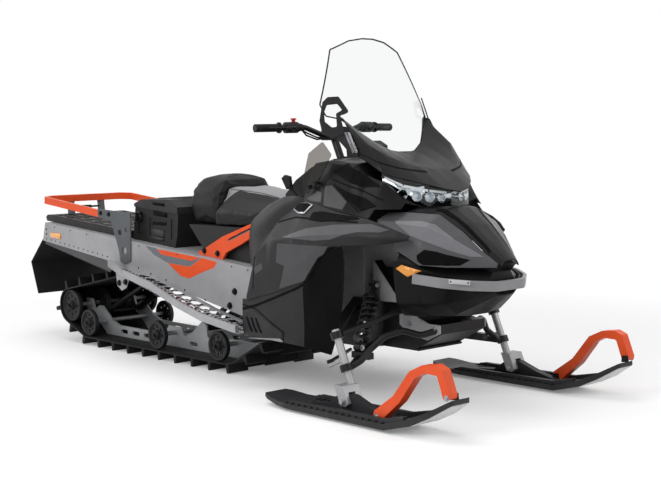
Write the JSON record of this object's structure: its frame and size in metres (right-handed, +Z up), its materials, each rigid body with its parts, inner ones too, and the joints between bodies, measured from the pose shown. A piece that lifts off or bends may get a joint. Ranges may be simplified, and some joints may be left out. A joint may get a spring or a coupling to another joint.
{
  "type": "snowmobile",
  "caption": "Utility snowmobile with a wide lugged track, steered skis, a tall clear screen, a storage box and a rear cargo loop.",
  "frame": {"origin": "on the ground below the middle of the overall box", "axes": "+X forward, +Y to the rider's left, +Z up"},
  "size_m": [3.18, 1.14, 1.423],
  "materials": {
    "aluminium_sheet": "satin",
    "cast_aluminium": "cast",
    "steel": "bright",
    "black_steel": "satin",
    "orange_steel": "satin",
    "orange_plastic": "satin",
    "grey_plate": "satin",
    "track_rubber": "matt",
    "soft_black": "matt",
    "black_plastic": "satin",
    "charcoal_panel": "gloss",
    "grey_panel": "gloss",
    "vinyl": "matt",
    "red_lens": "clear",
    "clear_lens": "clear",
    "clear_sheet": "clear",
    "smoked_sheet": "clear"
  },
  "bodies": {
    "chassis": {"tunnel": "aluminium_sheet", "running_boards": "aluminium_sheet", "track": "track_rubber", "track_wheels": "black_plastic", "slide_rails": "aluminium_sheet", "suspension_arms": "black_steel", "rear_deck": "black_plastic", "rack_loop": "orange_steel", "rack_brackets": "grey_plate", "snow_flap": "soft_black", "tail_light": "red_lens", "tow_hitch": "black_steel", "storage_box": "black_plastic", "seat": "vinyl", "backrest": "vinyl", "seat_base": "black_plastic", "side_frames": "orange_steel", "console": "black_plastic", "bulkhead": "cast_aluminium", "engine_block": "cast_aluminium", "side_panels": "charcoal_panel", "lower_panels": "black_plastic", "hood": "charcoal_panel", "visor": "charcoal_panel", "headlight": "clear_lens", "nose_panel": "charcoal_panel", "nose_sides": "grey_panel", "front_bumper": "grey_panel", "belly_pan": "black_plastic", "windshield": "clear_sheet", "screen_brackets": "black_plastic", "side_deflectors": "smoked_sheet", "front_arms": "black_steel", "front_shocks": "black_steel"},
    "lid": {"storage_lid": "black_plastic"},
    "steering": {"handlebar": "black_steel", "grips": "soft_black"},
    "right_ski": {"spindle_right": "cast_aluminium", "ski_right": "black_plastic", "ski_loop_right": "orange_plastic"},
    "left_ski": {"spindle_left": "cast_aluminium", "ski_left": "black_plastic", "ski_loop_left": "orange_plastic"},
    "right_link": {"tie_rod_right": "steel"},
    "left_link": {"tie_rod_left": "steel"}
  },
  "joints": [
    {"name": "steer", "type": "hinge", "parent": "chassis", "child": "steering", "pos_m": [0.46, 0, 1.035], "axis": [-0.4226, 0, 0.9063], "range_deg": [-32, 32]},
    {"name": "right_ski_steer", "type": "hinge", "parent": "chassis", "child": "right_ski", "pos_m": [0.99831, -0.45, 0.176], "axis": [-0.3907, 0, 0.9205], "range_deg": [-26, 26]},
    {"name": "left_ski_steer", "type": "hinge", "parent": "chassis", "child": "left_ski", "pos_m": [0.99831, 0.45, 0.176], "axis": [-0.3907, 0, 0.9205], "range_deg": [-26, 26]},
    {"name": "right_link_turn", "type": "hinge", "parent": "right_ski", "child": "right_link", "pos_m": [0.91042, -0.45, 0.18855], "axis": [-0.3907, 0, 0.9205], "range_deg": [-26, 26]},
    {"name": "left_link_turn", "type": "hinge", "parent": "left_ski", "child": "left_link", "pos_m": [0.91042, 0.45, 0.18855], "axis": [-0.3907, 0, 0.9205], "range_deg": [-26, 26]},
    {"name": "lid_hinge", "type": "hinge", "parent": "chassis", "child": "lid", "pos_m": [-0.518, 0.2195, 0.6977], "axis": [-0.9973, 0, 0.0728], "range_deg": [0, 90]}
  ],
  "couplings": [
    {"joint": "right_ski_steer", "follows": "steer", "ratio": 0.8},
    {"joint": "left_ski_steer", "follows": "steer", "ratio": 0.8},
    {"joint": "right_link_turn", "follows": "steer", "ratio": -0.8},
    {"joint": "left_link_turn", "follows": "steer", "ratio": -0.8}
  ]
}
